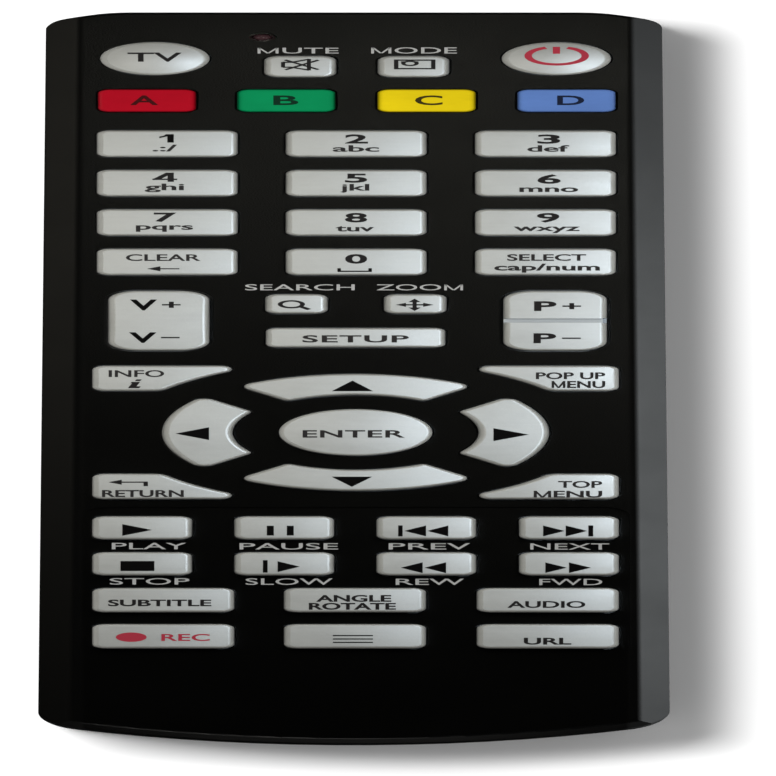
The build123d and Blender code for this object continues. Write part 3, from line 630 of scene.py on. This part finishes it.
ON_FLOOR = bpy.data.collections.new("lit_floor")
ON_FLOOR.objects.link(floor)
ON_OBJECT = bpy.data.collections.new("lit_object")
ON_OBJECT.objects.link(floor)
ON_OBJECT.collection_objects[0].light_linking.link_state = "EXCLUDE"
ON_SHELL = bpy.data.collections.new("lit_shell")
ON_KEYS = bpy.data.collections.new("lit_keys")
ON_SHELL.objects.link(floor)
for name, ob in NODES.items():
    if name.startswith(("key_", "rocker_")):
        ON_SHELL.objects.link(ob)
        if SLOTS[name] == "grey_key":
            ON_KEYS.objects.link(ob)
for item in ON_SHELL.collection_objects:
    item.light_linking.link_state = "EXCLUDE"


def area(name, loc, look, size, power, colour=(1, 1, 1), gloss=True, diffuse=True, lit=None):
    li = bpy.data.lights.new(name, "AREA")
    li.shape = "RECTANGLE"
    li.size, li.size_y = size
    li.energy = power
    li.color = colour
    ob = bpy.data.objects.new(name, li)
    sc.collection.objects.link(ob)
    ob.location = loc
    ob.rotation_euler = (Vector(look) - Vector(loc)).to_track_quat("-Z", "Y").to_euler()
    ob.visible_camera = False
    ob.visible_glossy = gloss
    ob.visible_diffuse = diffuse
    ob.light_linking.receiver_collection = lit
    return ob


# the photograph has a wide drop shadow to the right and below, and softer light from the upper right on the object
area("shadow_light", (-0.41, 0.28, 1.20), (0, 0, 0), (0.48, 0.42), 18.0, lit=ON_FLOOR)
area("soft_box", (-0.015, 0.052, 0.195), (0, 0, 0.02), (0.09, 0.09), 0.186, (1.0, 1.0, 0.955), gloss=False, lit=ON_OBJECT)
area("sheen_top", (0.024, 0.084, 0.25), (0, 0.02, 0.02), (0.04, 0.04), 0.0190, (1, 0.99, 0.86), diffuse=False, lit=ON_SHELL)
area("sheen_face", (0.050, 0.010, 0.13), (0, 0, 0.02), (0.03, 0.03), 0.0030, (1, 0.99, 0.90), diffuse=False, lit=ON_SHELL)
area("sheen_edge", (0.13, 0.02, 0.12), (0, 0, 0.02), (0.06, 0.06), 0.009, (1, 0.99, 0.92), diffuse=False, lit=ON_SHELL)
area("sheen_edge_left", (-0.12, 0.05, 0.12), (0, 0.03, 0.02), (0.06, 0.06), 0.006, (1, 0.99, 0.92), diffuse=False, lit=ON_SHELL)
area("sheen_right", (0.20, -0.020, 0.0100), (0, -0.020, 0.0100), (0.15, 0.018), 0.82, (0.93, 0.98, 1.0), diffuse=False, lit=ON_SHELL)
area("sheen_left", (-0.16, 0.07, 0.0100), (0, 0.07, 0.0100), (0.14, 0.018), 0.062, (1, 0.95, 0.80), diffuse=False, lit=ON_SHELL)
area("sheen_front", (0.0, -0.22, 0.0100), (0, 0, 0.0100), (0.10, 0.018), 0.022, (1, 0.98, 0.94), diffuse=False, lit=ON_SHELL)
area("keys_low_right", (0.25, 0, 0.075), (0, 0, 0.0215), (0.16, 0.04), 0.26, (0.9, 0.96, 1.0), gloss=False, lit=ON_KEYS)
area("keys_low_left", (-0.25, 0, 0.075), (0, 0, 0.0215), (0.16, 0.04), 0.17, (1.0, 1.0, 0.97), gloss=False, lit=ON_KEYS)
area("keys_far", (0.17, 0.02, 0.47), (0, 0, 0.02), (0.10, 0.10), 2.8, (0.78, 0.90, 1.0), diffuse=False, lit=ON_KEYS)
area("keys_right", (0.068, 0.016, 0.14), (0, 0.016, 0.02), (0.15, 0.03), 0.82, (0.78, 0.90, 1.0), diffuse=False, lit=ON_KEYS)
area("keys_left", (-0.060, 0.044, 0.20), (0, 0.040, 0.02), (0.12, 0.05), 0.28, (1.0, 0.99, 0.92), diffuse=False, lit=ON_KEYS)

TILT = math.radians(2.2)         # from the arched end
SIDE = math.radians(0.8)         # from the left
SQUEEZE = 3.30
cam = bpy.data.cameras.new("camera")
cam.type = "ORTHO"
cam.ortho_scale = 776 / PX_Y / 1000 * math.cos(TILT)
cam.clip_end = 5.0
co = bpy.data.objects.new("camera", cam)
sc.collection.objects.link(co)
sc.camera = co
back = Vector((-math.sin(SIDE) * math.cos(TILT), -math.sin(TILT), math.cos(SIDE) * math.cos(TILT)))
right = Vector((math.cos(SIDE), 0, math.sin(SIDE)))
co.rotation_euler = Matrix((right, back.cross(right), back)).transposed().to_euler()
# the key tops lie in the picture where the photograph has them
aim = Vector(((388 - MID_X) / PX_X / 1000, (MID_Y - 388) / PX_Y / 1000, CAP_TOP))
co.location = aim + back * 0.6
# The photograph is stretched sideways. The object keeps its true proportions, and this camera's parent squeezes the
# view instead: its depth axis leans sideways, which a parallel view shows as the same stretch.
turn = math.acos(1 / SQUEEZE)
rig = bpy.data.objects.new("squeeze", None)
sc.collection.objects.link(rig)
bpy.context.view_layer.update()
base = co.matrix_world.copy()
lean = Matrix(((math.cos(turn), 0, 0, 0), (0, 1, 0, 0), (math.sin(turn), 0, 1, 0), (0, 0, 0, 1)))
co.parent = rig
co.matrix_parent_inverse = base @ lean @ base.inverted()

sc.view_settings.view_transform = "Standard"
sc.view_settings.look = "None"
sc.view_settings.exposure = 0.0
sc.cycles.use_denoising = True
sc.cycles.max_bounces = 6
